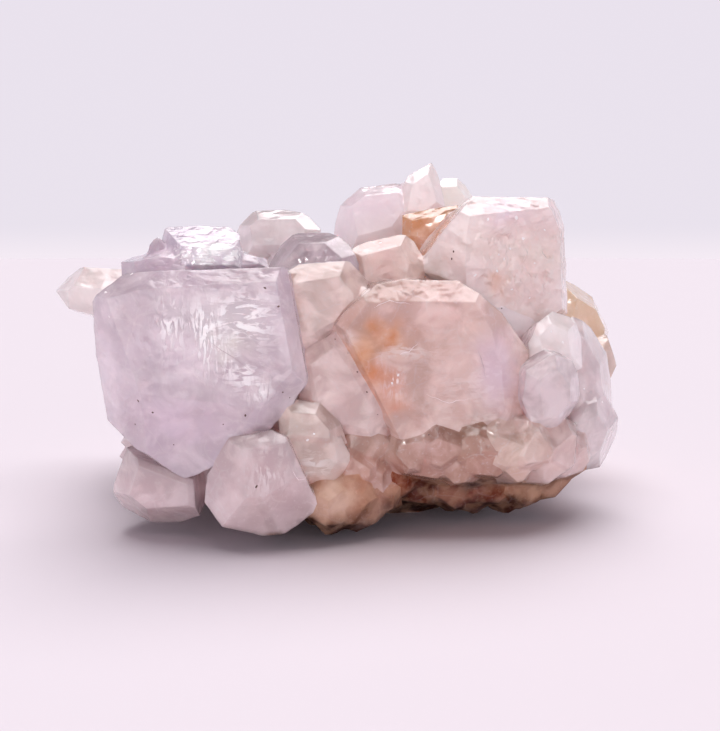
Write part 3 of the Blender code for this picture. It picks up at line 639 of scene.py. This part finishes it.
# Painted glints: white flecks standing for sparkles of light on the facets.
PAINTED_GLINTS = [
    (-13.3, 16.4, 0.08), (-11.8, 17.5, 0.07), (-13.0, 14.9, 0.05), (13.2, 21.1, 0.12), (13.7, 19.7, 0.09),
    (12.8, 19.0, 0.07), (12.0, 18.6, 0.07), (12.4, 18.3, 0.07), (11.9, 17.5, 0.09), (10.4, 17.2, 0.07),
    (14.6, 18.0, 0.07), (15.2, 20.3, 0.07), (13.0, 16.2, 0.06), (14.3, 15.6, 0.06), (11.2, 21.0, 0.09),
    (4.9, 11.1, 0.08), (4.5, 10.6, 0.06), (-0.8, 7.2, 0.08), (-0.4, 7.6, 0.06), (3.9, 19.4, 0.07),
    (15.1, 13.6, 0.06), (15.9, 12.9, 0.06), (19.2, 8.5, 0.07), (17.8, 9.5, 0.06), (-9.6, 18.9, 0.07),
]
GREY_LINES = [
    [(-6.9, 13.6), (-6.0, 12.9), (-5.0, 12.3), (-3.6, 11.2)],
    [(9.9, 12.9), (10.4, 11.6), (10.6, 10.4)],
]
PALE_LINES = [
    [(4.9, 12.4), (5.6, 12.7), (6.4, 13.3)],
    [(11.0, 15.7), (11.8, 15.1), (12.5, 14.6)],
    [(-1.7, 5.6), (-1.3, 4.9), (-0.6, 4.9)],
    [(3.3, 15.4), (4.3, 15.9), (5.9, 15.6)],
    [(6.5, 9.9), (8.2, 9.2), (10.1, 9.6)],
]
LINE_WIDTH = 0.018
surface = BVHTree.FromObject(quartz, bpy.context.evaluated_depsgraph_get())


def on_front(x, z):
    """Where a level line from the front meets the cluster, and the facet's normal there."""
    spot, normal, _, _ = surface.ray_cast(mm(x, -40, z), Vector((0, 1, 0)))
    return spot, normal


def plain_material(name, colour, roughness):
    made, nodes, links = material(name)
    mottle = nodes.new("ShaderNodeTexNoise")
    mottle.inputs["Scale"].default_value = 6 / MM
    tone = nodes.new("ShaderNodeMix")
    tone.data_type = "RGBA"
    links.new(mottle.outputs["Fac"], tone.inputs[0])
    tone.inputs[6].default_value = (*(colour * 0.7), 1)
    tone.inputs[7].default_value = (*colour, 1)
    links.new(tone.outputs[2], nodes["Principled BSDF"].inputs["Base Color"])
    nodes["Principled BSDF"].inputs["Roughness"].default_value = roughness
    return made


def grains(name, places, made):
    """Flat little lumps set into the facets."""
    chance = random.Random(len(places))
    body = bmesh.new()
    for x, z, size in places:
        spot, normal = on_front(x, z)
        if spot is None:
            continue
        lump = bmesh.ops.create_icosphere(body, subdivisions=2, radius=size * MM)["verts"]
        turn = normal.to_track_quat("Z", "Y")
        stretch = chance.uniform(1.0, 1.7)
        turn = turn @ Quaternion((0, 0, 1), chance.uniform(0, math.pi))
        for vertex in lump:
            uneven = 1 + 0.8 * noise.noise(vertex.co / MM * 9 + Vector((x, z, 0)))
            flat = Vector((vertex.co.x * stretch, vertex.co.y, vertex.co.z * 0.35)) * uneven
            vertex.co = spot + turn @ flat
    lumps = bpy.data.meshes.new(name)
    body.to_mesh(lumps)
    body.free()
    lumps.materials.append(made)
    ride(bpy.data.objects.new(name, lumps))


def hair_lines(name, routes, made):
    """Fine fractures where they reach the surface: threads laid along the facets."""
    curve = bpy.data.curves.new(name, "CURVE")
    curve.dimensions = "3D"
    curve.bevel_depth = LINE_WIDTH * MM
    curve.bevel_resolution = 1
    for route in routes:
        points = []
        for start, end in zip(route, route[1:]):
            for step in range(8):
                x = start[0] + (end[0] - start[0]) * step / 8
                z = start[1] + (end[1] - start[1]) * step / 8
                jog = noise.noise(Vector((x * 2, z * 2, 3.0))) * 0.12
                spot, normal = on_front(x + jog, z - jog)
                if spot is not None:
                    points.append(spot - normal * LINE_WIDTH * 0.4 * MM)
        spline = curve.splines.new("POLY")
        spline.points.add(len(points) - 1)
        for number, point in enumerate(points):
            thin = math.sin(math.pi * (number + 0.5) / len(points))
            spline.points[number].co = (*point, 1.0)
            spline.points[number].radius = 0.2 + thin
    curve.materials.append(made)
    ride(bpy.data.objects.new(name, curve))


grains("dark_specks", DARK_SPECKS, plain_material("speck", srgb(84, 54, 48), 0.6))
# Painted glints: the white flecks stand for sparkles of light.
grains("painted_glints", PAINTED_GLINTS, plain_material("chip", srgb(255, 250, 252), 0.15))
hair_lines("grey_fractures", GREY_LINES, plain_material("fracture_shade", srgb(176, 156, 164), 0.4))
hair_lines("pale_fractures", PALE_LINES, plain_material("fracture_light", srgb(252, 240, 242), 0.2))
